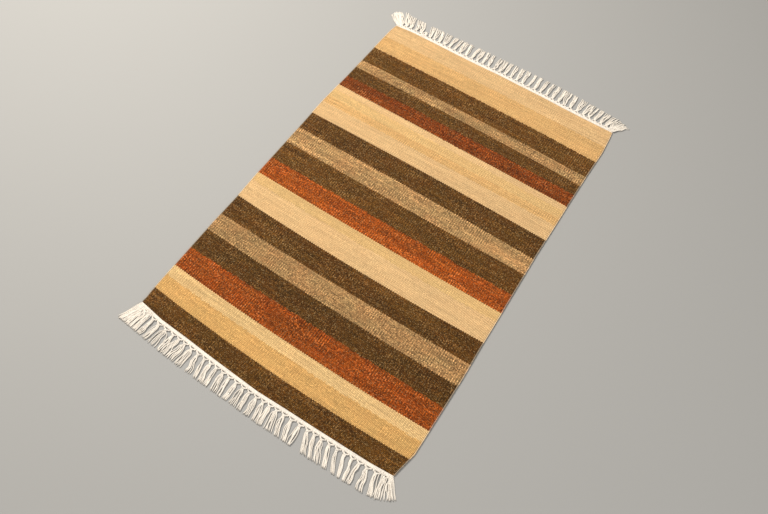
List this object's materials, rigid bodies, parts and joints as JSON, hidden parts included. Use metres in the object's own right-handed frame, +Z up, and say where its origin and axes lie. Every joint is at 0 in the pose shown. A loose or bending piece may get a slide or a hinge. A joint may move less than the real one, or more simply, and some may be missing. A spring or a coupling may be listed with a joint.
{
  "type": "kilim rug",
  "caption": "Flat-woven striped kilim rug lying flat, with a white header and a knotted yarn fringe at each end.",
  "frame": {"origin": "on the surface that the rug lies on, below the middle of the bounding box of the cloth and both fringes", "axes": "+X across the rug to the right as seen from the near end, +Y along it from the near end, where the bright rust stripe is further off, to the far end, where the widest cream stripes are, +Z up"},
  "size_m": [0.6442, 1.0304, 0.0034],
  "materials": {
    "striped_wool": "matt weft-faced wool in cream, gold, rust, brown and taupe stripes",
    "white_cotton": "matt off-white cotton yarn"
  },
  "bodies": {
    "root": {"woven_field": "striped_wool", "near_fringe": "white_cotton", "far_fringe": "white_cotton"}
  },
  "joints": []
}
